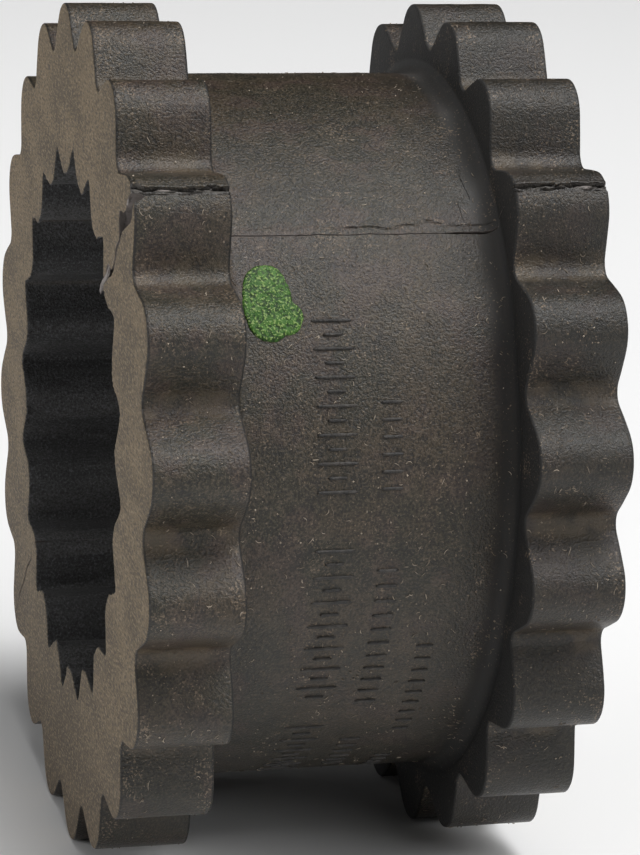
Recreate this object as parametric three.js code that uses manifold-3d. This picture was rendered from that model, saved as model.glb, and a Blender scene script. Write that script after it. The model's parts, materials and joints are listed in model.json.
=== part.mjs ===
// Flexible coupling sleeve: a moulded rubber element with a toothed flange at each end and a
// toothed bore, split on one plane through its axis into two halves that hinge open.
// The axis is X and the origin is the middle of the sleeve. Angles round the axis are
// measured from the top (+Z) towards the near side (-Y).
import * as THREE from 'three';
import { mergeVertices } from 'three/addons/utils/BufferGeometryUtils.js';
import Module from 'manifold-3d';

const wasm = await Module();
wasm.setup();

// ---- Driving dimensions, millimetres and degrees ----
const toothCount = 20; // the same on both flanges and in the bore
const outsideRadius = 50; // over the crests of the outer teeth
const sleeveLength = 53.1;
const flangeWidth = 10.7;
const splitAngle = 45; // the plane of the split, through an outer crest
const splitGap = 0.3; // running clearance between the two halves

// ---- Proportions that follow from the outside radius ----
const outerRootRadius = 0.901 * outsideRadius;
const outerCrestArc = 0.087 * outsideRadius;
const outerRootArc = 0.039 * outsideRadius;
const bodyRadius = 0.836 * outsideRadius;
const bodyFillet = 0.032 * outsideRadius;
const grooveRadius = 0.66 * outsideRadius; // bottoms of the bore's grooves
const grooveArc = 0.016 * outsideRadius;
const boreTipRadius = 0.592 * outsideRadius; // tips of the teeth in the bore
const boreTipArc = 0.065 * outsideRadius;

// ---- Facets ----
const arcSegments = 4; // along each rounded crest, root and fillet
const bodySegments = 4 * toothCount; // round the body

const pitch = (2 * Math.PI) / toothCount;
const flangeInnerX = sleeveLength / 2 - flangeWidth;

// A closed outline with `toothCount` rounded crests joined to rounded roots by straight
// flanks. The first crest stands `phase` radians from the shape's +Y axis.
function toothedOutline(crestRadius, crestArc, rootRadius, rootArc, phase) {
  const crestCentre = new THREE.Vector2(0, crestRadius - crestArc);
  const rootDistance = rootRadius + rootArc;
  const rootCentre = new THREE.Vector2(
    rootDistance * Math.sin(pitch / 2),
    rootDistance * Math.cos(pitch / 2),
  );
  const toRoot = rootCentre.clone().sub(crestCentre);
  // The flank touches the crest circle from outside and the root circle from inside.
  const flankSlope = toRoot.angle() - Math.asin((crestArc + rootArc) / toRoot.length());
  const flankNormal = flankSlope + Math.PI / 2;
  const crestSweep = flankNormal - Math.PI / 2; // negative: how far the crest arc turns
  const points = [];
  for (let tooth = 0; tooth < toothCount; tooth += 1) {
    const turn = -phase - tooth * pitch;
    for (let i = -arcSegments / 2; i <= arcSegments / 2; i += 1) {
      const angle = Math.PI / 2 + (crestSweep * i) / (arcSegments / 2);
      points.push(onArc(crestCentre, crestArc, angle, turn));
    }
    const rootStart = flankNormal - Math.PI;
    const rootMiddle = -Math.PI / 2 - pitch / 2;
    const rootSweep = 2 * (rootMiddle - rootStart);
    for (let i = 0; i <= arcSegments; i += 1) {
      const angle = rootStart + (rootSweep * i) / arcSegments;
      points.push(onArc(rootCentre, rootArc, angle, turn));
    }
  }
  return points;
}

// A point on a circle at `angle`, then the whole turned about the origin by `turn`.
function onArc(centre, radius, angle, turn) {
  const x = centre.x + radius * Math.cos(angle);
  const y = centre.y + radius * Math.sin(angle);
  return new THREE.Vector2(x, y).rotateAround(new THREE.Vector2(0, 0), turn);
}

// Sets a shape's X to -Y, its Y to +Z and its depth to -X, so that it lies across the axis.
const acrossAxis = new THREE.Matrix4().makeBasis(
  new THREE.Vector3(0, -1, 0),
  new THREE.Vector3(0, 0, 1),
  new THREE.Vector3(-1, 0, 0),
);

// A prism of the outline, from x = fromX up to x = toX.
function prism(outline, fromX, toX) {
  const shape = new THREE.Shape(outline);
  const geometry = new THREE.ExtrudeGeometry(shape, { depth: toX - fromX, bevelEnabled: false });
  return geometry.applyMatrix4(acrossAxis).translate(toX, 0, 0);
}

// A solid of revolution about X. Each profile point is (radius, x).
function revolved(profile) {
  const geometry = new THREE.LatheGeometry(profile, bodySegments);
  return geometry.rotateZ(-Math.PI / 2);
}

function toManifold(geometry) {
  const bare = geometry.index ? geometry.toNonIndexed() : geometry;
  bare.deleteAttribute('normal');
  bare.deleteAttribute('uv');
  const merged = mergeVertices(bare, 1e-4);
  const vertProperties = new Float32Array(merged.attributes.position.array);
  const triVerts = new Uint32Array(merged.index.array);
  return new wasm.Manifold(new wasm.Mesh({ numProp: 3, vertProperties, triVerts }));
}

function toMesh(name, solid, material) {
  const result = solid.getMesh();
  const geometry = new THREE.BufferGeometry();
  geometry.setAttribute('position', new THREE.BufferAttribute(result.vertProperties, 3));
  geometry.setIndex(new THREE.BufferAttribute(result.triVerts, 1));
  geometry.computeVertexNormals();
  const mesh = new THREE.Mesh(geometry, material);
  mesh.name = name;
  return mesh;
}

// ---- The sleeve, whole ----
function body() {
  const overlap = 1; // how far the body runs into each flange
  const shoulder = bodyRadius + bodyFillet;
  const endX = flangeInnerX + overlap;
  const profile = [new THREE.Vector2(0, -endX), new THREE.Vector2(shoulder, -endX)];
  for (let i = 0; i <= arcSegments; i += 1) {
    const angle = Math.PI + (Math.PI / 2) * (i / arcSegments);
    const radius = shoulder + bodyFillet * Math.sin(angle);
    profile.push(new THREE.Vector2(radius, -flangeInnerX + bodyFillet * (1 + Math.cos(angle))));
  }
  for (let i = arcSegments; i >= 0; i -= 1) {
    const angle = Math.PI + (Math.PI / 2) * (i / arcSegments);
    const radius = shoulder + bodyFillet * Math.sin(angle);
    profile.push(new THREE.Vector2(radius, flangeInnerX - bodyFillet * (1 + Math.cos(angle))));
  }
  profile.push(new THREE.Vector2(shoulder, endX), new THREE.Vector2(0, endX));
  return toManifold(revolved(profile));
}

function wholeSleeve() {
  const flangeOutline = toothedOutline(
    outsideRadius, outerCrestArc, outerRootRadius, outerRootArc, pitch / 2,
  );
  const boreOutline = toothedOutline(grooveRadius, grooveArc, boreTipRadius, boreTipArc, 0);
  const endX = sleeveLength / 2;
  const leftFlange = toManifold(prism(flangeOutline, -endX, -flangeInnerX));
  const rightFlange = toManifold(prism(flangeOutline, flangeInnerX, endX));
  const bore = toManifold(prism(boreOutline, -endX - 1, endX + 1));
  return body().add(leftFlange).add(rightFlange).subtract(bore);
}

// ---- The two halves ----
// Everything on one side of the split, the side that faces the angle `facing`.
function halfSpace(facing) {
  const side = 3 * outsideRadius;
  const box = new THREE.BoxGeometry(side, side, side);
  box.translate(0, 0, (side + splitGap) / 2);
  return toManifold(box.rotateX(THREE.MathUtils.degToRad(facing)));
}

// ---- The dab of paint on the body ----
const paintLength = 6.4; // along the axis
const paintWidth = 8.6; // round the body
const paintThickness = 0.3;
const paintClearance = 0.3; // between the paint and the rubber
const paintX = -11.1;
const paintAngle = 56.5;

function paintDab() {
  const innerRadius = bodyRadius + paintClearance;
  const outerRadius = innerRadius + paintThickness;
  const ring = toManifold(revolved([
    new THREE.Vector2(innerRadius, -flangeInnerX),
    new THREE.Vector2(outerRadius, -flangeInnerX),
    new THREE.Vector2(outerRadius, flangeInnerX),
    new THREE.Vector2(innerRadius, flangeInnerX),
    new THREE.Vector2(innerRadius, -flangeInnerX),
  ]));
  const blob = new THREE.Shape();
  blob.absellipse(0, 0, paintLength / 2, paintWidth / 2, 0, 2 * Math.PI);
  const cutter = new THREE.ExtrudeGeometry(blob, {
    depth: outsideRadius, bevelEnabled: false, curveSegments: 12,
  });
  cutter.rotateX(THREE.MathUtils.degToRad(paintAngle)).translate(paintX, 0, 0);
  return ring.intersect(toManifold(cutter));
}

// ---- Materials ----
const rubber = { color: 0x3a3733, roughness: 0.75, metalness: 0 };
const lowerRubber = new THREE.MeshStandardMaterial(rubber);
const upperRubber = new THREE.MeshStandardMaterial(rubber);
const paint = new THREE.MeshStandardMaterial({ color: 0x3f7a2e, roughness: 0.5, metalness: 0 });

// ---- Assembly ----
const sleeve = wholeSleeve();
const lowerHalf = sleeve.intersect(halfSpace(splitAngle + 90));
const upperHalf = sleeve.intersect(halfSpace(splitAngle - 90));

const group = new THREE.Group();
group.add(toMesh('lower_half_sleeve', lowerHalf, lowerRubber));
group.add(toMesh('upper_half_sleeve', upperHalf, upperRubber));
group.add(toMesh('paint_dab', paintDab(), paint));

export default group;
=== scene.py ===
"""The looks of a split rubber coupling sleeve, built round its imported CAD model.

Lengths inside the script are millimetres unless a name says otherwise; meshes are scaled
to metres as they are made. The sleeve's axis is X, and an angle round the axis is measured
from the top (+Z) towards the near side (-Y).
"""

import json
import math
import random

import bmesh
import bpy
import numpy as np
from mathutils import Matrix, Vector, noise


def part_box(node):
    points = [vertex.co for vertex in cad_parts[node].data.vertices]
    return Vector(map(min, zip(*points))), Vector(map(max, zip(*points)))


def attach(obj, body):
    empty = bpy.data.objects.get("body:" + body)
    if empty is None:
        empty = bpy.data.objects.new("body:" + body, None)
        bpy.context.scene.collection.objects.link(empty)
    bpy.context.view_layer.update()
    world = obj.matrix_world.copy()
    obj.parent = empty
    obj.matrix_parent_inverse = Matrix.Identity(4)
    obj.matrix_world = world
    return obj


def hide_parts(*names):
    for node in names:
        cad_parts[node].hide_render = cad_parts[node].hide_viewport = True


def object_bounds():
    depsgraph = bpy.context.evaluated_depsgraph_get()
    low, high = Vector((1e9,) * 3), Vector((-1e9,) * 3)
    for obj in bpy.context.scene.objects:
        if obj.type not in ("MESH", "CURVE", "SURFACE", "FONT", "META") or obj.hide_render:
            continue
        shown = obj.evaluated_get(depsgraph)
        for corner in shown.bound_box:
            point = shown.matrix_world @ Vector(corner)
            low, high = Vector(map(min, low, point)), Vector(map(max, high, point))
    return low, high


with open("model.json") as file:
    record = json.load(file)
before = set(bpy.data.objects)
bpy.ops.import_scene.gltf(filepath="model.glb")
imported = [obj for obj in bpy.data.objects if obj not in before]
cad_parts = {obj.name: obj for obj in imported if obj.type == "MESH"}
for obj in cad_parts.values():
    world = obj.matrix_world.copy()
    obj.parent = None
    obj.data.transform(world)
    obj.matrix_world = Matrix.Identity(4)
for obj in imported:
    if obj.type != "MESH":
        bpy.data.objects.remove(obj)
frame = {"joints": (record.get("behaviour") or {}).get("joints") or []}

cad_low, cad_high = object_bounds()

MM = 0.001

# ---- Sizes taken from the frame, and the proportions that the CAD model is made with ----
TOOTH_COUNT = 20
PITCH = 2 * math.pi / TOOTH_COUNT
LENGTH = (cad_high.x - cad_low.x) / MM
OUTSIDE_R = cad_high.z / MM / math.cos(PITCH / 2)
FLANGE_WIDTH = 0.214 * OUTSIDE_R
FLANGE_INNER_X = LENGTH / 2 - FLANGE_WIDTH
OUTER_ROOT_R = 0.901 * OUTSIDE_R
OUTER_CREST_ARC = 0.087 * OUTSIDE_R
OUTER_ROOT_ARC = 0.039 * OUTSIDE_R
BODY_R = 0.836 * OUTSIDE_R
BODY_FILLET = 0.032 * OUTSIDE_R
SHOULDER_R = BODY_R + BODY_FILLET
GROOVE_R = 0.66 * OUTSIDE_R
GROOVE_ARC = 0.016 * OUTSIDE_R
BORE_TIP_R = 0.592 * OUTSIDE_R
BORE_TIP_ARC = 0.065 * OUTSIDE_R

hinge = frame["joints"][0]["pos_m"]
HINGE_ANGLE = math.atan2(-hinge[1], hinge[2]) % (2 * math.pi)
SPLIT_ANGLE = HINGE_ANGLE - math.pi

# ---- Fine shape ----
EDGE_ROUND = 0.24  # the moulding's outer edges
BORE_ROUND = 0.18
BORE_RISE = 0.4  # the bore of the soft moulding lies this much above its middle
SKIN_SINK = 0.1  # the uneven skin lies about this far below the CAD model's surface
RING_STEP = 0.5  # along the outer surface, away from the cut
FINE_STEP = 0.075  # beside the cut and the hinge line
FINE_REACH = 2.4


def ramp(low, high, value):
    """0 below low, 1 above high, and a smooth rise between them."""
    t = np.clip((np.asarray(value, float) - low) / (high - low), 0.0, 1.0)
    return t * t * (3 - 2 * t)


def toothed_radius(crest_r, crest_arc, root_r, root_arc, phase):
    """The radius of a toothed outline as a function of the angle: rounded crests and roots
    joined by straight flanks."""
    half = PITCH / 2
    crest = np.array([0.0, crest_r - crest_arc])
    root = (root_r + root_arc) * np.array([math.sin(half), math.cos(half)])
    away = root - crest
    slope = math.atan2(away[1], away[0]) - math.asin((crest_arc + root_arc) / np.hypot(*away))
    normal = slope + math.pi / 2
    crest_turn = np.linspace(math.pi / 2, normal, 24)
    root_turn = np.linspace(normal - math.pi, -math.pi / 2 - half, 24)
    x = np.concatenate([
        crest[0] + crest_arc * np.cos(crest_turn),
        root[0] + root_arc * np.cos(root_turn),
    ])
    y = np.concatenate([
        crest[1] + crest_arc * np.sin(crest_turn),
        root[1] + root_arc * np.sin(root_turn),
    ])
    angles = np.arctan2(x, y)
    radii = np.hypot(x, y)

    def radius(angle):
        folded = np.abs((np.asarray(angle) - phase + half) % PITCH - half)
        return np.interp(folded, angles, radii)

    return radius


flange_radius = toothed_radius(OUTSIDE_R, OUTER_CREST_ARC, OUTER_ROOT_R, OUTER_ROOT_ARC, PITCH / 2)
bore_radius = toothed_radius(GROOVE_R, GROOVE_ARC, BORE_TIP_R, BORE_TIP_ARC, 0.0)


def new_object(name, vertices, faces, material, smooth_angle=None, body=None):
    mesh = bpy.data.meshes.new(name)
    mesh.from_pydata([tuple(v) for v in np.asarray(vertices) * MM], [], faces)
    mesh.materials.append(material)
    mesh.validate()
    obj = bpy.data.objects.new(name, mesh)
    bpy.context.scene.collection.objects.link(obj)
    mesh.polygons.foreach_set("use_smooth", [True] * len(mesh.polygons))
    if smooth_angle is not None:
        mesh.set_sharp_from_angle(angle=math.radians(smooth_angle))
    mesh.update()
    if body is not None:
        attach(obj, body)
    return obj


# ---- The section of the sleeve, as a loop of rows ----
# A section point is (x, outer, bore, fixed): its radius is outer times the flange's radius
# plus bore times the bore's radius plus the fixed length.
ARC_STEPS = (0.0, 22.5, 45.0)  # half of a rounded edge, in degrees
FACE_STEPS = 24  # up the end face, from the bore to the shoulder's radius
WALL_STEPS = 11  # from the shoulder to the flange's outer edge
FLANGE_STEPS = 22
BODY_STEPS = 76
FILLET_STEPS = 6


def mix(a, b, t):
    return tuple((1 - t) * p + t * q for p, q in zip(a, b))


def straight(start, end, steps):
    return [mix(start, end, k / steps) for k in range(steps + 1)]


def face_column(x, side):
    """Up an end face. side is -1 at the left end and 1 at the right."""
    edge = []
    for degrees in ARC_STEPS[::-1]:
        turn = math.radians(degrees)
        inset = BORE_ROUND * (1 - math.cos(turn))
        edge.append((x - side * inset, 0.0, 1.0, BORE_ROUND * (1 - math.sin(turn))))
    below = straight(edge[-1], (x, 0.0, 0.0, SHOULDER_R), FACE_STEPS)
    return edge[:-1] + below + rounded_top(x, side)[1:]


def rounded_top(x, side):
    """From the shoulder's radius up a flat side of the flange to the middle of its edge."""
    top = (x, 1.0, 0.0, -EDGE_ROUND)
    column = straight((x, 0.0, 0.0, SHOULDER_R), top, WALL_STEPS)
    for degrees in ARC_STEPS[1:]:
        turn = math.radians(degrees)
        inset = EDGE_ROUND * (1 - math.cos(turn))
        column.append((x - side * inset, 1.0, 0.0, EDGE_ROUND * (math.sin(turn) - 1)))
    return column


def flange_row(low_x, high_x):
    """Along the top of a flange, from the middle of one edge to the middle of the other."""
    row = []
    for degrees in (45.0, 67.5):
        turn = math.radians(degrees)
        row.append((low_x + EDGE_ROUND * (1 - math.cos(turn)), 1.0, 0.0,
                    EDGE_ROUND * (math.sin(turn) - 1)))
    mirrored = [(low_x + high_x - p[0],) + p[1:] for p in row[::-1]]
    row += straight((low_x + EDGE_ROUND, 1.0, 0.0, 0.0), (high_x - EDGE_ROUND, 1.0, 0.0, 0.0),
                    FLANGE_STEPS - 4)
    return row + mirrored


def bore_row(low_x, high_x, steps, low_edge, high_edge):
    """Along the bore. An edge is True at an end face, where the row starts half way round."""
    inset = BORE_ROUND * (1 - math.cos(math.radians(45)))
    lift = BORE_ROUND * (1 - math.sin(math.radians(45)))
    start_x, end_x = low_x, high_x
    row = []
    tail = []
    if low_edge:
        row = [(low_x + inset, 0.0, 1.0, lift)]
        start_x = low_x + BORE_ROUND
    if high_edge:
        tail = [(high_x - inset, 0.0, 1.0, lift)]
        end_x = high_x - BORE_ROUND
    count = steps - len(row) - len(tail)
    return row + straight((start_x, 0, 1.0, 0), (end_x, 0, 1.0, 0), count) + tail


def body_row():
    """Along the body from shoulder to shoulder, with a hollow fillet at each end."""
    left = []
    for k in range(FILLET_STEPS + 1):
        turn = math.pi / 2 * k / FILLET_STEPS
        left.append((-FLANGE_INNER_X + BODY_FILLET * (1 - math.cos(turn)), 0.0, 0.0,
                     SHOULDER_R - BODY_FILLET * math.sin(turn)))
    right = [(-p[0],) + p[1:] for p in left[::-1]]
    middle = straight(left[-1], right[0], BODY_STEPS - 2 * FILLET_STEPS)
    return left + middle[1:-1] + right


LEFT, RIGHT = -LENGTH / 2, LENGTH / 2
left_face = face_column(LEFT, -1)
right_face = face_column(RIGHT, 1)
left_wall = rounded_top(-FLANGE_INNER_X, 1)
right_wall = rounded_top(FLANGE_INNER_X, -1)
left_flange = flange_row(LEFT, -FLANGE_INNER_X)
right_flange = flange_row(FLANGE_INNER_X, RIGHT)
body = body_row()
bore_left = bore_row(LEFT, -FLANGE_INNER_X, FLANGE_STEPS, True, False)
bore_middle = bore_row(-FLANGE_INNER_X, FLANGE_INNER_X, BODY_STEPS, False, False)
bore_right = bore_row(FLANGE_INNER_X, RIGHT, FLANGE_STEPS, False, True)

# The loop runs up the left face, along the outside and down the right face, and back
# through the bore. Each stretch leaves out its last point, which starts the next one.
loop_parts = [
    ("left_face", left_face),
    ("left_flange", left_flange),
    ("left_wall", left_wall[::-1]),
    ("body", body),
    ("right_wall", right_wall),
    ("right_flange", right_flange),
    ("right_face", right_face[::-1]),
    ("bore_right", bore_right[::-1]),
    ("bore_middle", bore_middle[::-1]),
    ("bore_left", bore_left[::-1]),
]
loop_points = []
part_index = {}
for part_name, points in loop_parts:
    part_index[part_name] = [len(loop_points) + k for k in range(len(points))]
    loop_points += points[:-1]
for name in part_index:
    part_index[name] = [k % len(loop_points) for k in part_index[name]]
LOOP = np.array(loop_points)


# ---- The cut and the hinge line ----
# Where an edge of the cut lies is given as millimetres from the plane of the split, towards
# growing angles: the lower half has the larger offset and the upper half the smaller one.
CUT_LINE = 0.3  # on the moulded outside, where the cut follows the parting line
CUT_GAP = 0.12
HINGE_GAP = 0.03

# The tear that shows on the left end face: share of the outside radius, lower edge, upper edge.
TEAR = (
    (0.552, -1.6, -2.4),
    (0.600, -1.0, -1.8),
    (0.630, -0.5, -1.1),
    (0.660, 0.0, -1.5),
    (0.684, 0.5, -1.2),
    (0.700, 0.7, 0.1),
    (0.728, 0.8, 0.2),
    (0.748, 0.45, 0.05),
    (0.772, 0.4, -0.45),
    (0.790, 0.1, -0.4),
    (0.820, 0.3, -0.2),
    (0.836, 0.2, -1.5),
    (0.852, 0.2, -2.5),
    (0.872, 0.4, -2.1),
    (0.898, 0.9, -1.5),
    (0.920, 1.4, -0.8),
    (0.936, 1.7, -0.5),
    (0.952, 1.9, -1.0),
    (0.972, 1.9, -0.9),
    (0.990, 1.3, -0.6),
    (1.004, 0.9, -0.5),
)
TEAR_SHARE, TEAR_LOWER, TEAR_UPPER = (np.array(column) for column in zip(*TEAR))


def wobble(x, y, z):
    """Smooth noise between -1 and 1."""
    return noise.noise(Vector((x, y, z)))


def rough_noise(x, r, size, seed):
    return wobble(x / size, r / size, seed)


def depth_below_surface(x, r):
    outer = np.where(np.abs(x) > FLANGE_INNER_X - 0.01, OUTSIDE_R, BODY_R)
    return outer - r


def cut_middle(x, r):
    """On the moulded outside the cut follows the parting line, and inside it wanders."""
    wander = 1.7 * rough_noise(x, r, 7.0, 3.1) - 0.5
    jag = 0.4 * rough_noise(x, r, 1.5, 8.4) + 0.2 * rough_noise(x, r, 0.6, 1.7)
    inside = float(ramp(0.3, 4.5, depth_below_surface(x, r)))
    line = CUT_LINE + 0.09 * rough_noise(x, r, 3.0, 5.0) + 0.04 * rough_noise(x, r, 0.7, 4.0)
    return inside * (wander + jag) + (1 - inside) * line


def cut_edge(x, r, torn_edge, gap_side):
    """The tear fades into the closed cut a few millimetres in from the left end face."""
    open_end = 0.25 * float(ramp(9.5, 12.5, x) * (1 - ramp(14.5, 16.0, x)))
    closed = cut_middle(x, r) + gap_side * (CUT_GAP + open_end) / 2
    torn = float(np.interp(r / OUTSIDE_R, TEAR_SHARE, torn_edge))
    torn += 0.22 * rough_noise(x, r, 0.9, 31.0) * float(ramp(0.2, 1.5, OUTSIDE_R - r))
    face_reach = 3.6 + 1.6 * rough_noise(0.0, r, 3.0, 15.0)
    face_reach *= 0.35 + 0.65 * float(ramp(0.2, 2.5, OUTSIDE_R - r))
    share = 1 - float(ramp(0.25 * face_reach, face_reach, x - LEFT))
    return closed + share * (torn - closed)


def lower_cut(x, r):
    return max(cut_edge(x, r, TEAR_LOWER, 1), upper_cut(x, r) + 0.06)


def upper_cut(x, r):
    return cut_edge(x, r, TEAR_UPPER, -1)


def hinge_middle(x, r):
    inside = float(ramp(0.4, 5.0, depth_below_surface(x, r)))
    inside *= float(ramp(GROOVE_R - 5.0, GROOVE_R + 2.0, r))
    return inside * (0.9 * rough_noise(x, r, 6.0, 21.0) + 0.25 * rough_noise(x, r, 1.2, 13.0))


def hinge_gap(x, r):
    """The strip that bends has begun to crack open at the left end face."""
    near_face = math.exp(-(((x - LEFT) / 1.5) ** 2))
    return HINGE_GAP + 0.30 * near_face * max(0.0, 0.5 + rough_noise(x, r, 2.5, 27.0))


def lower_hinge(x, r):
    return hinge_middle(x, r) - hinge_gap(x, r) / 2


def upper_hinge(x, r):
    return hinge_middle(x, r) + hinge_gap(x, r) / 2


def ring_angles():
    """Ring positions from 0 to 1 along a half turn, close together beside the two ends."""
    half_way = math.pi * OUTSIDE_R / 2
    steps = [0.0]
    step = FINE_STEP
    while steps[-1] < half_way:
        steps.append(steps[-1] + step)
        if steps[-1] > FINE_REACH:
            step = min(RING_STEP, step * 1.15)
    front = np.array(steps) / steps[-1] / 2
    return np.concatenate([front, (1 - front[::-1])[1:]])


def section_radii(angles):
    """Radius of each loop point, for an array of angles with one column a loop point."""
    outer = flange_radius(angles)
    bore = bore_radius(angles) + BORE_RISE * np.cos(angles)
    return LOOP[:, 1] * outer + LOOP[:, 2] * bore + LOOP[:, 3]


def end_angles(plane_angle, edge):
    """The angle of each loop point at a cut end."""
    radii = section_radii(np.full(len(LOOP), plane_angle))
    away = [edge(x, r) for x, r in zip(LOOP[:, 0], radii)]
    return plane_angle + np.arcsin(np.array(away) / radii)


def fill_patch(bottom, top, left, right):
    """Grid of points between four edges (a Coons patch). Rows run from left to right."""
    across = np.linspace(0, 1, len(bottom))[None, :, None]
    up = np.linspace(0, 1, len(left))[:, None, None]
    grid = (1 - up) * bottom[None] + up * top[None]
    grid = grid + (1 - across) * left[:, None] + across * right[:, None]
    corners = ((1 - up) * (1 - across) * bottom[0] + (1 - up) * across * bottom[-1]
               + up * (1 - across) * top[0] + up * across * top[-1])
    return grid - corners


def on_axis_frame(x, angle, radius):
    return np.stack([x, -radius * np.sin(angle), radius * np.cos(angle)], axis=-1)


def outward(angle):
    """The unit vector away from the axis at an angle round it."""
    return np.array([0.0, -math.sin(angle), math.cos(angle)])


def surface_swell(points):
    """Small unevenness of the moulding, along the radius and never outwards."""
    swell = [0.07 * noise.noise(Vector(p) / 9.0) + 0.035 * noise.noise(Vector(p) / 2.6) - 0.11
             for p in points]
    return np.array(swell)


def bump_at(value, middle, width):
    return math.exp(-(((value - middle) / width) ** 2))


def upper_flange_lip(x, away):
    """The upper half's flanges are torn beside the cut: a sunk rough strip under a lip."""
    width = 0.85 + 0.5 * wobble(x / 1.7, 4.0, 9.0)
    width += 0.25 * wobble(x / 0.5, 1.0, 2.0)
    strip = float(1 - ramp(width - 0.06, width + 0.1, away))
    rough = 0.30 * abs(wobble(x / 0.5, away / 0.25, 7.0))
    pit = float(ramp(0.0, 0.3, wobble(x / 1.5, away / 0.5, 17.0)))
    line = 0.4 * bump_at(away, width, 0.1)
    lip = 0.1 * bump_at(away, width + 0.3, 0.3)
    chip = 0.5 * bump_at(x, LEFT, 0.8) * bump_at(away, 0.0, 1.2)
    return lip - line - strip * (0.14 + rough + 0.35 * pit) - chip


def upper_body_film(x, away):
    """A thin film of flash lies along the cut on the body, with a ragged far edge."""
    width = 0.8 + 0.45 * wobble(x / 2.2, 2.0, 5.0) + 1.1 * bump_at(x, 8.0, 1.0)
    width += 0.2 * wobble(x / 0.45, 8.0, 1.0)
    film = float(1 - ramp(width - 0.05, width + 0.05, away))
    deep = float(ramp(-6.0, 3.0, x)) * max(0.0, 0.6 + wobble(x / 1.3, 6.0, 6.0))
    return 0.06 * film - (0.05 + 0.16 * deep) * bump_at(away, width + 0.1, 0.09)


def lower_lip(x, away):
    rough = 0.5 + wobble(x / 0.8, 3.0, 12.0)
    return 0.07 * rough * math.exp(-away / 0.35)


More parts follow.
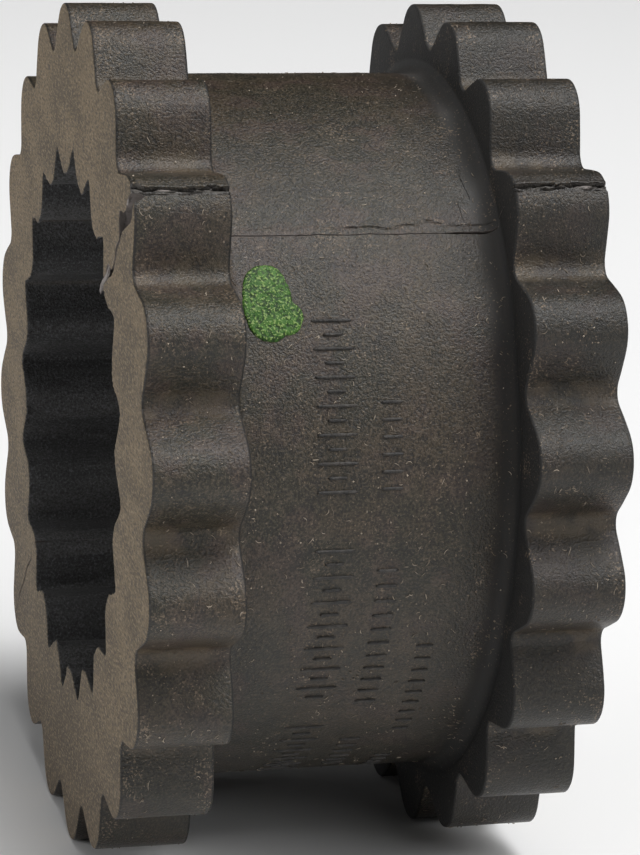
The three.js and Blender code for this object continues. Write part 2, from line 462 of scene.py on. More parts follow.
class Half:
    """One half of the sleeve as a closed mesh: a loop of section points swept round the
    axis, and a grid of points over each cut face."""

    def __init__(self, start, stop, start_edge, stop_edge):
        self.start, self.stop = start, stop
        self.start_edge, self.stop_edge = start_edge, stop_edge

    def build(self, flange_lip, body_lip, lip_at_stop):
        share = ring_angles()[:, None]
        first = end_angles(self.start, self.start_edge)
        last = end_angles(self.stop, self.stop_edge)
        angles = self.start + (self.stop - self.start) * share
        fade_out = 1 - ramp(0.0, 0.12, share)
        fade_in = ramp(0.88, 1.0, share)
        angles = angles + fade_out * (first - self.start) + fade_in * (last - self.stop)
        radii = section_radii(angles)
        x = np.broadcast_to(LOOP[:, 0], radii.shape)
        away = np.abs((angles[-1] if lip_at_stop else angles[0]) - angles) * radii
        radii = radii + self.outside_lift(x, angles, radii, away, flange_lip, body_lip)
        rings = on_axis_frame(x, angles, radii)
        self.vertices = list(rings.reshape(-1, 3))
        self.faces = []
        self.count = len(LOOP)
        self.add_side(len(rings))
        self.side_faces = len(self.faces)
        self.add_cut_face(0, rings[0], self.start, self.start_edge)
        self.add_cut_face(len(rings) - 1, rings[-1], self.stop, self.stop_edge)

    def outside_lift(self, x, angles, radii, away, flange_lip, body_lip):
        lift = np.zeros_like(radii)
        body_columns = set(part_index["body"][1:-1])
        flange_columns = set(part_index["left_flange"] + part_index["right_flange"])
        for j in range(len(LOOP)):
            above = float(ramp(SHOULDER_R, OUTER_ROOT_R, radii[0, j]))
            if j in body_columns or above > 0:
                points = on_axis_frame(x[:, j], angles[:, j], radii[:, j])
                lift[:, j] = surface_swell(points) * (1.0 if j in body_columns else above)
                lip = body_lip if j in body_columns else flange_lip
                for i in np.nonzero(away[:, j] < 6.0)[0]:
                    rise = 1.0 if j in body_columns or j in flange_columns else above ** 4
                    lift[i, j] += rise * lip(x[i, j], away[i, j])
            elif LOOP[j, 2] == 1.0 and abs(LOOP[j, 0]) > LENGTH / 2 - 0.5:
                lift[:, j] = self.ragged_bore_edge(angles[:, j])
        return lift

    def ragged_bore_edge(self, angles):
        rough = [wobble(a * GROOVE_R / 0.8, 0.0, 40.0) for a in angles]
        coarse = [wobble(a * GROOVE_R / 3.0, 0.0, 44.0) for a in angles]
        depth = 2.6 * np.abs(rough) * np.clip(0.25 + 1.8 * np.array(coarse), 0.05, 1.0)
        return -np.minimum(0.55, depth)

    def add_side(self, ring_total):
        for i in range(ring_total - 1):
            for j in range(self.count):
                k = (j + 1) % self.count
                a, b = i * self.count, (i + 1) * self.count
                self.faces.append((a + j, b + j, b + k, a + k))

    def add_cut_face(self, ring, ring_points, plane_angle, edge):
        """Covers one end with three patches: a flange, the body and the other flange."""
        radial = outward(plane_angle)
        flat = np.stack([ring_points[:, 0], ring_points @ radial], axis=-1)
        shoulder_l = part_index["body"][0]
        shoulder_r = part_index["body"][-1]
        bore_l = part_index["bore_middle"][-1]
        bore_r = part_index["bore_middle"][0]
        steps = len(left_face) - len(left_wall)
        seam_l = self.seam(ring, flat, bore_l, shoulder_l, steps, plane_angle, edge)
        seam_r = self.seam(ring, flat, bore_r, shoulder_r, steps, plane_angle, edge)
        base = ring * self.count

        def row(name, reverse=False):
            ids = [base + k for k in part_index[name]]
            return ids[::-1] if reverse else ids

        wall_l = row("left_wall", True)
        wall_r = row("right_wall")
        patches = [
            (row("bore_left", True), row("left_flange"), row("left_face"), seam_l + wall_l[1:]),
            (row("bore_middle", True), row("body"), seam_l, seam_r),
            (row("bore_right", True), row("right_flange"), seam_r + wall_r[1:],
             row("right_face", True)),
        ]
        for bottom, top, left, right in patches:
            self.add_patch(bottom, top, left, right, plane_angle, edge, ring == 0)

    def cut_point(self, x, r, plane_angle, edge):
        normal = np.array([0.0, -math.cos(plane_angle), -math.sin(plane_angle)])
        radial = outward(plane_angle)
        return np.array([x, 0.0, 0.0]) + r * radial + edge(x, r) * normal

    def seam(self, ring, flat, low, high, steps, plane_angle, edge):
        """Adds the points of the line between two patches, and returns their numbers."""
        ids = [ring * self.count + low]
        for k in range(1, steps):
            x, r = flat[low] + (flat[high] - flat[low]) * k / steps
            ids.append(len(self.vertices))
            self.vertices.append(self.cut_point(x, r, plane_angle, edge))
        return ids + [ring * self.count + high]

    def add_patch(self, bottom, top, left, right, plane_angle, edge, at_start):
        radial = outward(plane_angle)

        def plane_points(ids):
            points = np.array([self.vertices[k] for k in ids])
            return np.stack([points[:, 0], points @ radial], axis=-1)

        grid = fill_patch(*[plane_points(ids) for ids in (bottom, top, left, right)])
        ids = np.zeros(grid.shape[:2], int)
        ids[0], ids[-1], ids[:, 0], ids[:, -1] = bottom, top, left, right
        for i in range(1, len(left) - 1):
            for j in range(1, len(bottom) - 1):
                ids[i, j] = len(self.vertices)
                self.vertices.append(self.cut_point(*grid[i, j], plane_angle, edge))
        for i in range(len(left) - 1):
            for j in range(len(bottom) - 1):
                quad = (ids[i, j], ids[i + 1, j], ids[i + 1, j + 1], ids[i, j + 1])
                self.faces.append(tuple(int(k) for k in (quad if at_start else quad[::-1])))


# ---- Node helpers ----
class Nodes:
    """Short names for making a material's nodes."""

    def __init__(self, name):
        self.material = bpy.data.materials.new(name)
        self.material.use_nodes = True
        self.tree = self.material.node_tree
        self.shader = self.tree.nodes["Principled BSDF"]

    def add(self, kind, **settings):
        node = self.tree.nodes.new(kind)
        for key, value in settings.items():
            setattr(node, key, value)
        return node

    def link(self, source, target):
        self.tree.links.new(source, target)

    def math(self, operation, first, second=None, clamp=False):
        node = self.add("ShaderNodeMath", operation=operation, use_clamp=clamp)
        for socket, value in zip(node.inputs, (first, second)):
            if value is None:
                continue
            if isinstance(value, (int, float)):
                socket.default_value = value
            else:
                self.link(value, socket)
        return node.outputs[0]

    def noise(self, vector, cycles_a_mm, detail=3.0, roughness=0.55, distortion=0.0):
        node = self.add("ShaderNodeTexNoise")
        node.inputs["Scale"].default_value = cycles_a_mm / MM
        node.inputs["Detail"].default_value = detail
        node.inputs["Roughness"].default_value = roughness
        node.inputs["Distortion"].default_value = distortion
        self.link(vector, node.inputs["Vector"])
        return node.outputs["Fac"]

    def stretch(self, vector, scale):
        node = self.add("ShaderNodeMapping")
        node.inputs["Scale"].default_value = scale
        self.link(vector, node.inputs["Vector"])
        return node.outputs["Vector"]

    def fade(self, value, low, high):
        """0 to 1 as value goes from low to high."""
        node = self.add("ShaderNodeMapRange", interpolation_type="SMOOTHSTEP")
        node.inputs["From Min"].default_value = low
        node.inputs["From Max"].default_value = high
        self.link(value, node.inputs["Value"])
        return node.outputs["Result"]

    def fade_mm(self, value, low, high):
        """The same, for a value in metres and limits in millimetres."""
        return self.fade(value, low * MM, high * MM)

    def product(self, result, *others):
        for other in others:
            result = self.math("MULTIPLY", result, other)
        return result

    def opposite(self, mask):
        return self.math("SUBTRACT", 1.0, mask)

    def blend(self, share, first, second):
        """A colour between two; each is a colour or another node's output."""
        node = self.add("ShaderNodeMix", data_type="RGBA")
        self.link(share, node.inputs["Factor"])
        for socket, value in ((node.inputs["A"], first), (node.inputs["B"], second)):
            if isinstance(value, tuple):
                socket.default_value = value + (1.0,)
            else:
                self.link(value, socket)
        return node.outputs["Result"]

    def tint(self, colour, mask, amount, towards):
        """A colour moved by amount towards another where the mask is 1."""
        return self.blend(self.product(mask, amount), colour, towards)

    def bump(self, height, strength, distance):
        node = self.add("ShaderNodeBump")
        node.inputs["Strength"].default_value = strength
        node.inputs["Distance"].default_value = distance
        self.link(height, node.inputs["Height"])
        return node.outputs["Normal"]


# ---- Materials ----
OLIVE = (0.022, 0.0195, 0.011)
BROWN = (0.041, 0.029, 0.016)
PLUM = (0.047, 0.030, 0.023)
DARK = (0.007, 0.006, 0.005)
CHALK = (0.105, 0.080, 0.055)
DUST = (0.25, 0.185, 0.125)
VALLEY_BLOOM_AND_HIGHLIGHT = (0.110, 0.082, 0.050)
FACE_DARK = (0.076, 0.052, 0.024)
FACE_LIGHT = (0.140, 0.099, 0.052)
FACE_PAINTED_SHADE = (0.048, 0.034, 0.021)
FACE_PORE = (0.040, 0.028, 0.016)
FACE_GRAIN = (0.26, 0.20, 0.125)
FACE_PIT = (0.03, 0.024, 0.020)
PAINTED_SHADE_OLIVE = (0.011, 0.011, 0.008)
SHADE_BLACK = (0.006, 0.006, 0.006)
FILLET_SHADE_GREY = (0.036, 0.035, 0.034)
BORE_BLACK = (0.034, 0.034, 0.034)
BORE_GREY = (0.056, 0.055, 0.054)
BORE_GLINT = (0.15, 0.15, 0.16)
STRIP_DARK = (0.014, 0.012, 0.011)
STRIP_PALE = (0.085, 0.078, 0.070)
TORN_DARK = (0.135, 0.118, 0.108)
TORN_PALE = (0.220, 0.195, 0.182)
MARK_BLACK = (0.014, 0.013, 0.012)
MARK_WORN = (0.040, 0.035, 0.030)
GREEN_DARK = (0.028, 0.098, 0.008)
GREEN = (0.062, 0.160, 0.022)
GREEN_PIT = (0.007, 0.022, 0.003)
GREEN_FLECK = (0.30, 0.40, 0.13)
LINT_DARK = (0.15, 0.12, 0.09)
LINT_PALE = (0.44, 0.37, 0.29)
ROUGH_SKIN = 0.41
SPECULAR = 0.50


def rubber_grain(n, place, smooth_band=None):
    """Bump of the moulded skin: a fine pebbled grain over a softer unevenness."""
    soft = n.noise(place, 0.9, 3.0, 0.6)
    pebble = n.noise(place, 3.4, 2.0, 0.7)
    height = n.product(pebble, 0.17)
    if smooth_band is not None:
        height = n.product(height, n.opposite(smooth_band))
    height = n.math("ADD", height, n.product(soft, 0.05))
    n.link(n.bump(height, 1.0, MM), n.shader.inputs["Normal"])
    return pebble


def skin_colour(n, place, pebble):
    """The moulded skin: slow drifts of tint, mottling, grain and chalky bloom."""
    drift = n.noise(place, 0.07, 3.0, 0.6)
    tint = n.noise(n.stretch(place, (1.0, 1.4, 0.8)), 0.16, 3.0, 0.55)
    mottle = n.noise(place, 0.42, 4.0, 0.65, 0.3)
    colour = n.blend(n.fade(drift, 0.40, 0.60), OLIVE, BROWN)
    colour = n.tint(colour, n.fade(tint, 0.50, 0.62), 0.8, PLUM)
    colour = n.tint(colour, n.fade(tint, 0.47, 0.36), 0.6, OLIVE)
    colour = n.tint(colour, n.fade(mottle, 0.52, 0.34), 0.5, DARK)
    colour = n.tint(colour, n.fade(mottle, 0.52, 0.72), 0.3, CHALK)
    colour = n.tint(colour, n.fade(pebble, 0.50, 0.34), 0.85, DARK)
    return n.tint(colour, n.fade(pebble, 0.50, 0.66), 0.60, CHALK)


def dust_specks(n, place, edge_zone):
    """0 to 1: fine specks in loose patches, thicker towards the edges of the flanges."""
    patch = n.noise(place, 0.22, 3.0, 0.6, 0.5)
    speck = n.noise(place, 3.8, 1.0, 0.5)
    reach = n.math("ADD", patch, n.product(edge_zone, 0.10))
    dusty = n.product(n.fade(reach, 0.58, 0.68), n.fade(speck, 0.56, 0.64))
    stray = n.product(n.fade(speck, 0.68, 0.72), n.fade(patch, 0.40, 0.52))
    return n.math("MAXIMUM", dusty, stray)


def end_face_colour(n, place, z):
    """The flat end faces: paler and browner than the skin, with pores and pits, and painted shade
    towards the bottom.
    """
    flat = n.stretch(place, (1.0, 0.3, 1.0))
    bloom = n.noise(flat, 0.22, 4.0, 0.6)
    grain = n.noise(flat, 3.2, 2.0, 0.7)
    pits = n.noise(flat, 0.9, 2.0, 0.6, 0.4)
    face = n.blend(n.fade(bloom, 0.36, 0.64), FACE_DARK, FACE_LIGHT)
    # Painted shade: the end face darkens towards the bottom.
    face = n.tint(face, n.fade_mm(z, -5, -48), 0.6, FACE_PAINTED_SHADE)
    face = n.tint(face, n.fade(grain, 0.50, 0.36), 0.80, FACE_PORE)
    face = n.tint(face, n.fade(grain, 0.52, 0.66), 0.6, FACE_GRAIN)
    return n.tint(face, n.fade(pits, 0.30, 0.22), 0.8, FACE_PIT)


def bore_colour(n, place, pebble):
    wave = n.noise(n.stretch(place, (0.12, 1.0, 1.0)), 0.35, 3.0, 0.6)
    bore = n.blend(n.fade(wave, 0.4, 0.65), BORE_BLACK, BORE_GREY)
    bore = n.tint(bore, n.fade(pebble, 0.50, 0.36), 0.7, DARK)
    return n.tint(bore, n.fade(pebble, 0.52, 0.70), 0.5, BORE_GLINT)


def torn_strip(n, y, z, radius, on_flange, skin):
    """0 to 1: the torn strip beside the cut, on the crests of the upper half's flanges."""
    from_cut = n.math("ADD", n.product(y, -math.cos(SPLIT_ANGLE)),
                      n.product(z, -math.sin(SPLIT_ANGLE)))
    return n.product(
        n.fade_mm(from_cut, -1.6, -1.2),
        n.fade_mm(from_cut, 0.4, 0.3),
        n.fade_mm(radius, OUTSIDE_R - 0.2, OUTSIDE_R - 0.35),
        n.fade_mm(radius, OUTSIDE_R - 2.5, OUTSIDE_R - 2.0),
        on_flange,
        skin,
        n.fade_mm(z, 10, 12),
    )


def rubber_material():
    n = Nodes("moulded_rubber")
    place = n.add("ShaderNodeTexCoord").outputs["Object"]
    axes = n.add("ShaderNodeSeparateXYZ")
    n.link(place, axes.inputs["Vector"])
    x, y, z = axes.outputs
    along = n.math("ABSOLUTE", x)
    radius = n.math("SQRT", n.math("ADD", n.product(y, y), n.product(z, z)))
    from_wall = n.math("ABSOLUTE", n.math("SUBTRACT", along, FLANGE_INNER_X * MM))
    flange_middle = (FLANGE_INNER_X + LENGTH / 2) / 2
    from_middle = n.math("ABSOLUTE", n.math("SUBTRACT", along, flange_middle * MM))

    # Where on the moulding a point is, each from 0 to 1
    end_face = n.fade_mm(along, LENGTH / 2 - 0.07, LENGTH / 2 - 0.02)
    skin = n.opposite(end_face)
    in_bore = n.product(skin, n.fade_mm(radius, GROOVE_R + 0.3, GROOVE_R))
    on_flange = n.fade_mm(along, FLANGE_INNER_X + 0.1, FLANGE_INNER_X + 0.3)
    fillet = n.product(n.fade_mm(x, FLANGE_INNER_X - 3.2, FLANGE_INNER_X - 1.2),
                       n.fade_mm(radius, SHOULDER_R + 0.3, SHOULDER_R - 0.2),
                       n.opposite(on_flange))
    at_wall = n.product(n.fade_mm(from_wall, 0.35, 0.15), n.fade_mm(radius, BODY_R, BODY_R + 1.0))
    edge_zone = n.product(on_flange, n.fade_mm(from_middle, 0.2 * FLANGE_WIDTH, FLANGE_WIDTH / 2))
    in_valley = n.product(on_flange, n.fade_mm(radius, OUTER_ROOT_R + 1.2, OUTER_ROOT_R + 0.2))
    edge_line = n.product(n.fade_mm(along, LENGTH / 2 - 0.40, LENGTH / 2 - 0.22),
                          n.fade_mm(radius, GROOVE_R, GROOVE_R + 2))
    right_end = n.fade_mm(x, 6, 15)
    painted_shade_below = n.fade_mm(z, 0, -38)
    below_cut = n.fade_mm(z, 32, 16)

    pebble = rubber_grain(n, place, fillet)
    colour = skin_colour(n, place, pebble)
    # The skin is darker towards the right end.
    colour = n.tint(colour, right_end, 0.50, DARK)
    # Painted shade: the skin darkens to a dull olive towards the underside.
    colour = n.tint(colour, painted_shade_below, 0.42, PAINTED_SHADE_OLIVE)
    # Pale patches in the flange valleys: chalky bloom, and also a painted highlight along the
    # valleys.
    bloom_and_highlight_patches = n.fade(n.noise(place, 0.25, 3.0, 0.6), 0.40, 0.60)
    colour = n.tint(colour, n.product(in_valley, bloom_and_highlight_patches), 0.45, VALLEY_BLOOM_AND_HIGHLIGHT)
    # Painted shade: the inner walls of the flanges, beside the body, are darkened nearly to black.
    colour = n.tint(colour, at_wall, 0.85, SHADE_BLACK)
    # Painted shade in the hollow fillets between body and flanges: grey, and near black lower down.
    colour = n.tint(colour, fillet, 0.7, n.blend(below_cut, FILLET_SHADE_GREY, SHADE_BLACK))
    specks = n.product(dust_specks(n, place, edge_zone), n.opposite(in_bore))
    colour = n.tint(colour, specks, 0.55, DUST)
    colour = n.tint(colour, edge_line, 0.75, DARK)
    colour = n.blend(end_face, colour, end_face_colour(n, place, z))
    colour = n.blend(in_bore, colour, bore_colour(n, place, pebble))
    bits = n.fade(n.noise(place, 1.1, 3.0, 0.7), 0.40, 0.62)
    strip = torn_strip(n, y, z, radius, on_flange, skin)
    colour = n.tint(colour, strip, 0.85, n.blend(bits, STRIP_DARK, STRIP_PALE))
    n.link(colour, n.shader.inputs["Base Color"])

    rough = n.math("ADD", ROUGH_SKIN, n.product(n.math("SUBTRACT", pebble, 0.5), 0.3))
    rough = n.math("ADD", rough, n.product(end_face, 0.30), clamp=True)
    shaded = n.math("MAXIMUM", n.math("MAXIMUM", fillet, at_wall), in_bore)
    rough = n.math("ADD", rough, n.product(shaded, 0.34), clamp=True)
    n.link(rough, n.shader.inputs["Roughness"])
    n.shader.inputs["Specular IOR Level"].default_value = SPECULAR
    return n.material


def torn_material():
    """The inside of the rubber, where it is cut or torn."""
    n = Nodes("torn_rubber")
    place = n.add("ShaderNodeTexCoord").outputs["Object"]
    tone = n.noise(place, 0.5, 4.0, 0.65)
    shred = n.noise(n.stretch(place, (1.0, 0.5, 0.5)), 2.2, 3.0, 0.65)
    colour = n.blend(n.fade(tone, 0.35, 0.65), TORN_DARK, TORN_PALE)
    colour = n.tint(colour, n.fade(shred, 0.45, 0.3), 0.5, DARK)
    n.link(colour, n.shader.inputs["Base Color"])
    n.shader.inputs["Roughness"].default_value = 0.62
    n.link(n.bump(shred, 0.9, 0.16 * MM), n.shader.inputs["Normal"])
    return n.material


def fresh_black_material():
    """The clean black rubber of moulded marks and nicks, where no bloom settles."""
    n = Nodes("clean_black_rubber")
    place = n.add("ShaderNodeTexCoord").outputs["Object"]
    pebble = rubber_grain(n, place)
    worn = n.noise(place, 0.6, 3.0, 0.6)
    colour = n.blend(n.fade(worn, 0.42, 0.66), MARK_BLACK, MARK_WORN)
    colour = n.tint(colour, n.fade(pebble, 0.55, 0.7), 0.5, BROWN)
    n.link(colour, n.shader.inputs["Base Color"])
    n.shader.inputs["Roughness"].default_value = 0.5
    return n.material


def paint_material():
    """Thick green paint, dabbed on unevenly and full of pits and pale flecks."""
    n = Nodes("dabbed_green_paint")
    place = n.add("ShaderNodeTexCoord").outputs["Object"]
    blotch = n.noise(place, 0.35, 3.0, 0.6, 0.5)
    fleck = n.noise(place, 2.1, 2.0, 0.65)
    speck = n.noise(place, 4.2, 1.0, 0.5)
    green = n.blend(n.fade(blotch, 0.38, 0.62), GREEN_DARK, GREEN)
    green = n.tint(green, n.fade(fleck, 0.52, 0.38), 0.80, GREEN_PIT)
    green = n.tint(green, n.fade(speck, 0.55, 0.65), 0.65, GREEN_FLECK)
    n.link(green, n.shader.inputs["Base Color"])
    n.shader.inputs["Roughness"].default_value = 0.5
    n.shader.inputs["Specular IOR Level"].default_value = 0.3
    n.link(n.bump(n.math("ADD", fleck, speck), 0.8, 0.10 * MM), n.shader.inputs["Normal"])
    return n.material


def lint_material():
    n = Nodes("pale_lint")
    place = n.add("ShaderNodeTexCoord").outputs["Object"]
    shade = n.noise(place, 0.4, 2.0)
    tone = n.blend(n.fade(shade, 0.35, 0.65), LINT_DARK, LINT_PALE)
    n.link(tone, n.shader.inputs["Base Color"])
    n.shader.inputs["Roughness"].default_value = 0.8
    return n.material


rubber = rubber_material()
torn_rubber = torn_material()
clean_black = fresh_black_material()
green_paint = paint_material()
lint = lint_material()


# ---- The two halves ----
def make_half(node, body_name, half):
    obj = new_object(node + "_moulding", half.vertices, half.faces, rubber, 42, body_name)
    obj.data.materials.append(torn_rubber)
    for face in obj.data.polygons[half.side_faces:]:
        face.material_index = 1
    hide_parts(node)


lower_half = Half(SPLIT_ANGLE, HINGE_ANGLE, lower_cut, lower_hinge)
lower_half.build(lower_lip, lower_lip, False)
upper_half = Half(HINGE_ANGLE, SPLIT_ANGLE + 2 * math.pi, upper_hinge, upper_cut)
upper_half.build(upper_flange_lip, upper_body_film, True)
make_half("lower_half_sleeve", "lower_half", lower_half)
make_half("upper_half_sleeve", "upper_half", upper_half)


# ---- Small things on the surface ----
def surface_radius(x, angle):
    """The radius of the outside at a place, fillets included."""
    from_wall = FLANGE_INNER_X - abs(x)
    if from_wall < 0:
        return float(flange_radius(angle)) - SKIN_SINK
    if from_wall < BODY_FILLET:
        across = BODY_FILLET - from_wall
        return SHOULDER_R - math.sqrt(BODY_FILLET ** 2 - across ** 2) - SKIN_SINK
    return BODY_R - SKIN_SINK


def gather(parts):
    """Joins lists of vertices and faces into one."""
    vertices = []
    faces = []
    for part_vertices, part_faces in parts:
        start = len(vertices)
        vertices += list(part_vertices)
        faces += [tuple(k + start for k in face) for face in part_faces]
    return vertices, faces


def tapered_tube(path, radii, sides):
    """A closed tube through the points of a path, pointed at both ends."""
    path = [Vector(p) for p in path]
    vertices = [path[0]]
    faces = []
    for k in range(1, len(path) - 1):
        ahead = (path[k + 1] - path[k - 1]).normalized()
        across = ahead.cross(Vector((0.31, 0.57, 0.76))).normalized()
        third = ahead.cross(across)
        for j in range(sides):
            turn = 2 * math.pi * j / sides
            vertices.append(path[k] + radii[k] * (math.cos(turn) * across + math.sin(turn) * third))
    vertices.append(path[-1])
    last = len(vertices) - 1
    for j in range(sides):
        i = (j + 1) % sides
        faces.append((0, 1 + i, 1 + j))
        faces.append((last, last - sides + j, last - sides + i))
        for k in range(len(path) - 3):
            a = 1 + k * sides
            faces.append((a + j, a + i, a + sides + i, a + sides + j))
    return vertices, faces


FIBRE_STEPS = 5


def fibre(draw, x, angle, length, width):
    """A short curved fibre lying on the surface."""
    heading = draw.uniform(0, math.pi)
    curl = draw.uniform(-1.2, 1.2)
    path = []
    radii = []
    for k in range(FIBRE_STEPS + 1):
        t = k / FIBRE_STEPS - 0.5
        way = heading + curl * t
        px = x + length * t * math.cos(way)
        turn = angle + length * t * math.sin(way) / BODY_R
        path.append(on_axis_frame(px, turn, surface_radius(px, turn) + 0.5 * width))
        radii.append(width / 2 * math.sqrt(max(0.0, 1 - (2 * t) ** 2)))
    return tapered_tube(path, radii, 3)


def crumb(draw, x, angle, size):
    """A lump with uneven corners, half sunk into the surface."""
    middle = Vector(on_axis_frame(x, angle, surface_radius(x, angle) + 0.15 * size))
    corners = []
    for axis in (0, 1, 2):
        for side in (-1, 1):
            corner = Vector((0, 0, 0))
            corner[axis] = side * size * draw.uniform(0.35, 0.65)
            corner[(axis + 1) % 3] = size * draw.uniform(-0.15, 0.15)
            corners.append(middle + corner)
    faces = [(4, 2, 0), (4, 1, 2), (4, 3, 1), (4, 0, 3)]
    faces += [(5, 0, 2), (5, 2, 1), (5, 1, 3), (5, 3, 0)]
    return corners, faces


END_MARGIN = 0.6
WALL_CLEARANCE = 0.5  # so that no fibre bridges the corner between body and flange


def scatter(name, seed, count, start, stop, make, material, body_name):
    """Strews small things over the outside between two angles, in loose drifts."""
    draw = random.Random(seed)
    parts = []
    while len(parts) < count:
        x = draw.uniform(LEFT + END_MARGIN, RIGHT - END_MARGIN)
        angle = draw.uniform(start, stop)
        beside_wall = abs(abs(x) - FLANGE_INNER_X)
        drift = wobble(x / 9.0, angle * 4.5, seed)
        keep = 0.35 + 0.9 * drift + 0.5 * math.exp(-beside_wall / 0.8)
        if draw.random() < keep and beside_wall > WALL_CLEARANCE:
            parts.append(make(draw, x, angle))
    vertices, faces = gather(parts)
    new_object(name, keep_inside(vertices), faces, material, None, body_name)


def lint_fibre(draw, x, angle):
    return fibre(draw, x, angle, draw.uniform(0.25, 0.90), draw.uniform(0.06, 0.12))


def dust_crumb(draw, x, angle):
    return crumb(draw, x, angle, draw.uniform(0.11, 0.26))


BOX_MARGIN = 0.02


def keep_inside(vertices):
    """Moves points that reach past the CAD model's box back into it."""
    low = np.array(cad_low) / MM + BOX_MARGIN
    high = np.array(cad_high) / MM - BOX_MARGIN
    return np.clip(np.array([tuple(p) for p in vertices]), low, high)


LOWER_SPAN = (SPLIT_ANGLE + 0.03, HINGE_ANGLE - 0.03)
UPPER_SPAN = (HINGE_ANGLE + 0.03, SPLIT_ANGLE + 2 * math.pi - 0.05)
scatter("lower_lint", 11, 780, *LOWER_SPAN, lint_fibre, lint, "lower_half")
scatter("upper_lint", 12, 360, *UPPER_SPAN, lint_fibre, lint, "upper_half")
scatter("lower_crumbs", 13, 720, *LOWER_SPAN, dust_crumb, lint, "lower_half")
scatter("upper_crumbs", 14, 440, *UPPER_SPAN, dust_crumb, lint, "upper_half")


# ---- Moulded marks: plain ribs in three rows, with no lettering ----
RIB_ACROSS = 6
RIB_ALONG = 12
RIB_WIDTH = 0.42
RIB_HEIGHT = 0.22
RIB_SINK = 0.06  # a rib's edge starts this far below the skin
RIB_ROOT = 0.16  # how far a rib reaches into the body below its edge

# Each row: place along the axis, rib lengths in turn, degrees from rib to rib, and its groups
# as (first angle in degrees, how many ribs).
RIB_ROWS = (
    (-4.4, (4.7, 2.2), 2.15, ((59.5, 13), (94.5, 14), (131.0, 11))),
    (1.75, (2.5, 2.5), 2.6, ((72.0, 6), (98.0, 11), (136.0, 6))),
    (7.2, (2.0, 2.0), 2.6, ((112.0, 9), (145.0, 4))),
)


def rib(x_middle, angle, length):
    """A raised rounded rib along the axis, as a closed shell."""
    vertices = []
    faces = []
    for side in (1, 0):
        for i in range(RIB_ALONG + 1):
            u = -math.cos(math.pi * i / RIB_ALONG)
            for j in range(RIB_ACROSS + 1):
                v = -1 + 2 * j / RIB_ACROSS
                dome = math.sqrt(max(0.0, 1 - abs(v) ** 2.5) * max(0.0, 1 - u ** 10))
                lift = side * (RIB_HEIGHT + RIB_SINK) * dome - RIB_SINK - (1 - side) * RIB_ROOT
                turn = angle + v * math.sqrt(1.02 - u ** 8) * RIB_WIDTH / 2 / BODY_R
                radius = BODY_R - SKIN_SINK + lift
                vertices.append(on_axis_frame(x_middle + u * length / 2, turn, radius))
    row = RIB_ACROSS + 1
    under = row * (RIB_ALONG + 1)
    for i in range(RIB_ALONG):
        for j in range(RIB_ACROSS):
            a = i * row + j
            faces.append((a, a + 1, a + row + 1, a + row))
            faces.append((a + under, a + row + under, a + row + 1 + under, a + 1 + under))
    rim = list(range(row))
    rim += [i * row + row - 1 for i in range(1, RIB_ALONG + 1)]
    rim += [RIB_ALONG * row + j for j in range(row - 2, -1, -1)]
    rim += [i * row for i in range(RIB_ALONG - 1, 0, -1)]
    for k, near in enumerate(rim):
        far = rim[(k + 1) % len(rim)]
        faces.append((near, near + under, far + under, far))
    return vertices, faces


def moulded_ribs():
    parts = []
    for x_middle, lengths, step, groups in RIB_ROWS:
        for first, count in groups:
            for k in range(count):
                length = lengths[k % 2]
                parts.append(rib(x_middle, math.radians(first + k * step), length))
    new_object("moulded_ribs", *gather(parts), clean_black, 60, "lower_half")


moulded_ribs()


# ---- Nicks in the skin, and torn shreds beside the cut ----
def surface_path(points):
    """Points on the outside from (x, angle in degrees)."""
    path = []
    for x, degrees in points:
        angle = math.radians(degrees)
        path.append(on_axis_frame(x, angle, surface_radius(x, angle) + 0.01))
    return path


def bowed(points, widest):
    """Radii that swell from nothing at both ends of a path."""
    last = len(points) - 1
    return [widest * math.sin(math.pi * k / last) ** 0.6 for k in range(last + 1)]


def nicks():
    long_nick = [(13.3 + 0.25 * t * t - 0.12 * math.sin(5 * t), 32.3 + 7.2 * t)
                 for t in np.linspace(0, 1, 9)]
    short_nick = [(12.05 + 0.3 * t, 39.0 + 4.2 * t) for t in np.linspace(0, 1, 7)]
    parts = [tapered_tube(surface_path(points), bowed(points, 0.075), 5)
             for points in (long_nick, short_nick)]
    new_object("skin_nicks", *gather(parts), clean_black, None, "upper_half")


def cut_plane_point(x, r, offset):
    """A point given by its place along the axis, its radius and its distance from the cut."""
    angle = SPLIT_ANGLE + math.asin(offset / r)
    return on_axis_frame(x, angle, r)


# Each shred: three points as (x, radius, offset), its width, and the body it hangs on.
SHREDS = (
    ((LEFT + 0.3, 34.4, -1.2), (LEFT, 31.6, -0.9), (LEFT + 0.5, 29.9, -1.5), 0.34,
     "upper_half"),
    ((LEFT + 0.5, 30.8, -2.0), (LEFT + 0.3, 28.2, -2.5), (LEFT + 0.5, 25.8, -2.5), 0.26,
     "lower_half"),
    ((LEFT + 0.9, 31.8, -0.7), (LEFT + 0.4, 30.3, -1.2), (LEFT + 0.8, 29.0, -0.8), 0.42,
     "lower_half"),
    ((LEFT + 0.7, 41.5, -1.7), (LEFT + 0.6, 39.8, -1.1), (LEFT + 0.9, 38.2, -0.5), 0.30,
     "upper_half"),
    ((LEFT + 2.4, 49.3, -0.6), (LEFT + 3.6, 49.7, -0.3), (LEFT + 4.8, 49.3, -0.5), 0.22,
     "upper_half"),
    ((RIGHT - 3.8, 49.3, -0.5), (RIGHT - 2.6, 49.7, -0.2), (RIGHT - 1.2, 49.4, -0.4), 0.24,
     "upper_half"),
)


def shaken(x, y, z):
    """Smooth noise along each axis. Blender's own noise_vector differs from run to run."""
    return np.array([wobble(x, y, z), wobble(y, z, x + 50.0), wobble(z, x, y + 90.0)])


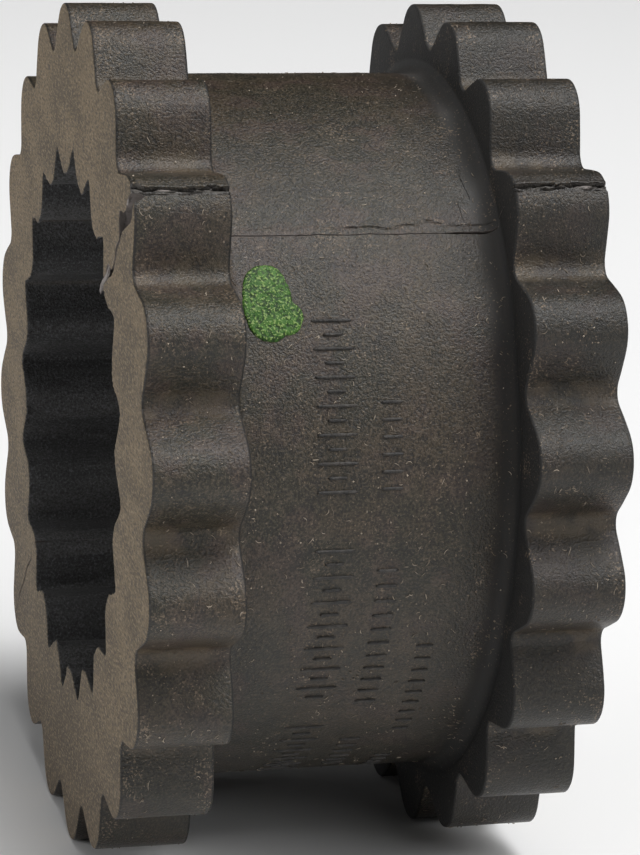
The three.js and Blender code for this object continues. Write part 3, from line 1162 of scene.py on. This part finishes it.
def shreds(body_name):
    parts = []
    for first, middle, last, width, owner in SHREDS:
        if owner != body_name:
            continue
        ends = [Vector(cut_plane_point(*p)) for p in (first, middle, last)]
        path = []
        for t in np.linspace(0, 1, 10):
            p = (1 - t) ** 2 * ends[0] + 2 * t * (1 - t) * ends[1] + t * t * ends[2]
            path.append(p + 0.12 * shaken(*(3.0 * p)))
        parts.append(tapered_tube(path, bowed(path, width), 6))
    vertices, faces = gather(parts)
    new_object(body_name + "_shreds", keep_inside(vertices), faces, torn_rubber, 60, body_name)


nicks()
shreds("lower_half")
shreds("upper_half")


# ---- The dab of paint ----
PAINT_RINGS = 22
PAINT_SPOKES = 120
PAINT_THICKNESS = 0.16
PAINT_ROOT = 0.1  # how far the dab reaches into the body


def paint_reach(c, s, half_width):
    """The outline of the dab in millimetres from its middle: a blob with a lobe."""
    blob = ((abs(c) / 2.75) ** 2.3 + (abs(s) / half_width) ** 2.3) ** (-1 / 2.3)
    lobe_x, lobe_y, lobe_r = 1.85, 1.8, 1.95
    ahead = c * lobe_x + s * lobe_y
    aside = c * lobe_y - s * lobe_x
    if ahead > 0 and abs(aside) < lobe_r:
        blob = max(blob, ahead + math.sqrt(lobe_r ** 2 - aside ** 2))
    ragged = 0.16 * wobble(2.2 * c, 2.2 * s, 6.0)
    return blob + ragged + 0.10 * wobble(8 * c, 8 * s, 2.0)


def paint_dab():
    low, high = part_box("paint_dab")
    middle = (low + high) / 2 / MM
    angle = math.atan2(-middle.y, middle.z)
    half_width = math.hypot(high.y - low.y, high.z - low.z) / 2 / MM
    vertices = []
    faces = []
    for side in (1, 0):
        for i in range(PAINT_RINGS + 1):
            t = i / PAINT_RINGS
            for j in range(PAINT_SPOKES):
                turn = 2 * math.pi * j / PAINT_SPOKES
                reach = t * paint_reach(math.cos(turn), math.sin(turn), half_width)
                u, v = reach * math.cos(turn), reach * math.sin(turn)
                lump = 0.07 * wobble(u / 0.8, v / 0.8, 3.0)
                rim = 0.05 * bump_at(t, 0.93, 0.05)
                lift = side * ((PAINT_THICKNESS + lump) * (1 - t ** 8) + rim)
                radius = BODY_R - SKIN_SINK + lift - (1 - side) * PAINT_ROOT
                vertices.append(on_axis_frame(middle.x - 0.2 + u, angle + v / BODY_R, radius))
    under = (PAINT_RINGS + 1) * PAINT_SPOKES
    for i in range(PAINT_RINGS):
        for j in range(PAINT_SPOKES):
            k = (j + 1) % PAINT_SPOKES
            a, b = i * PAINT_SPOKES, (i + 1) * PAINT_SPOKES
            quad = (a + j, a + k, b + k, b + j)
            faces.append(quad[::-1])
            faces.append(tuple(corner + under for corner in quad))
    last = PAINT_RINGS * PAINT_SPOKES
    for j in range(PAINT_SPOKES):
        k = (j + 1) % PAINT_SPOKES
        faces.append((last + j, last + j + under, last + k + under, last + k))
    obj = new_object("dabbed_paint", vertices, faces, green_paint)
    close_middle(obj)
    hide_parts("paint_dab")
    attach(obj, "lower_half")


def close_middle(obj):
    """Merges the points that meet at the middle of the dab."""
    work = bmesh.new()
    work.from_mesh(obj.data)
    bmesh.ops.remove_doubles(work, verts=work.verts, dist=1e-3 * MM)
    bmesh.ops.recalc_face_normals(work, faces=work.faces)
    work.to_mesh(obj.data)
    work.free()


paint_dab()


# ---- Stage: floor, light and camera, with lengths in metres ----
FLOOR_SIZE = 16.0
SOFTBOX_DISTANCE = 2.5
SOFTBOX_SIZE = 1.25
WORLD_STRENGTH = 0.02


def make_floor():
    n = Nodes("pale_floor")
    n.shader.inputs["Base Color"].default_value = (0.86, 0.86, 0.86, 1)
    n.shader.inputs["Roughness"].default_value = 0.9
    half = FLOOR_SIZE / 2
    mesh = bpy.data.meshes.new("floor")
    corners = [(-half, -half, cad_low.z), (half, -half, cad_low.z),
               (half, half, cad_low.z), (-half, half, cad_low.z)]
    mesh.from_pydata(corners, [], [(0, 1, 2, 3)])
    mesh.materials.append(n.material)
    floor = bpy.data.objects.new("floor", mesh)
    bpy.context.scene.collection.objects.link(floor)


def make_world():
    world = bpy.data.worlds.new("studio")
    bpy.context.scene.world = world
    world.use_nodes = True
    background = world.node_tree.nodes["Background"]
    background.inputs["Color"].default_value = (1, 1, 1, 1)
    background.inputs["Strength"].default_value = WORLD_STRENGTH


def softbox(name, azimuth, elevation, power):
    """A square area light aimed at the sleeve. Azimuth 0 is in front (-Y), 90 is to the right."""
    data = bpy.data.lights.new(name, "AREA")
    data.size = SOFTBOX_SIZE
    data.energy = power
    light = bpy.data.objects.new(name, data)
    away = direction(azimuth, elevation)
    light.location = SOFTBOX_DISTANCE * away
    light.rotation_euler = away.to_track_quat("Z", "Y").to_euler()
    bpy.context.scene.collection.objects.link(light)


def direction(azimuth, elevation):
    a, e = math.radians(azimuth), math.radians(elevation)
    return Vector((math.sin(a) * math.cos(e), -math.cos(a) * math.cos(e), math.sin(e)))


# The camera: angles in degrees, distance and target in metres, lens in millimetres
VIEW_AZIMUTH = -15.04
VIEW_ELEVATION = 15.30
VIEW_ROLL = 2.34
VIEW_DISTANCE = 0.3921
VIEW_TARGET = (0.00414, -0.00128, -0.00064)
LENS = 136.85


def make_camera():
    data = bpy.data.cameras.new("camera")
    data.lens = LENS
    data.sensor_width = 36.0
    camera = bpy.data.objects.new("camera", data)
    back = direction(VIEW_AZIMUTH, VIEW_ELEVATION)
    camera.location = Vector(VIEW_TARGET) + back * VIEW_DISTANCE
    level = back.to_track_quat("Z", "Y").to_matrix()
    camera.rotation_euler = (level @ Matrix.Rotation(math.radians(VIEW_ROLL), 3, "Z")).to_euler()
    bpy.context.scene.collection.objects.link(camera)
    bpy.context.scene.camera = camera


make_floor()
make_world()
softbox("high_right", 60, 72, 34.0)
softbox("high_front", 20, 76, 23.0)
softbox("low_right", 60, 38, 14.0)
softbox("low_front", 20, 38, 11.0)
softbox("left", -90, 12, 28.0)
softbox("back_left", -135, 30, 4.0)
make_camera()
bpy.context.scene.view_settings.view_transform = "Standard"
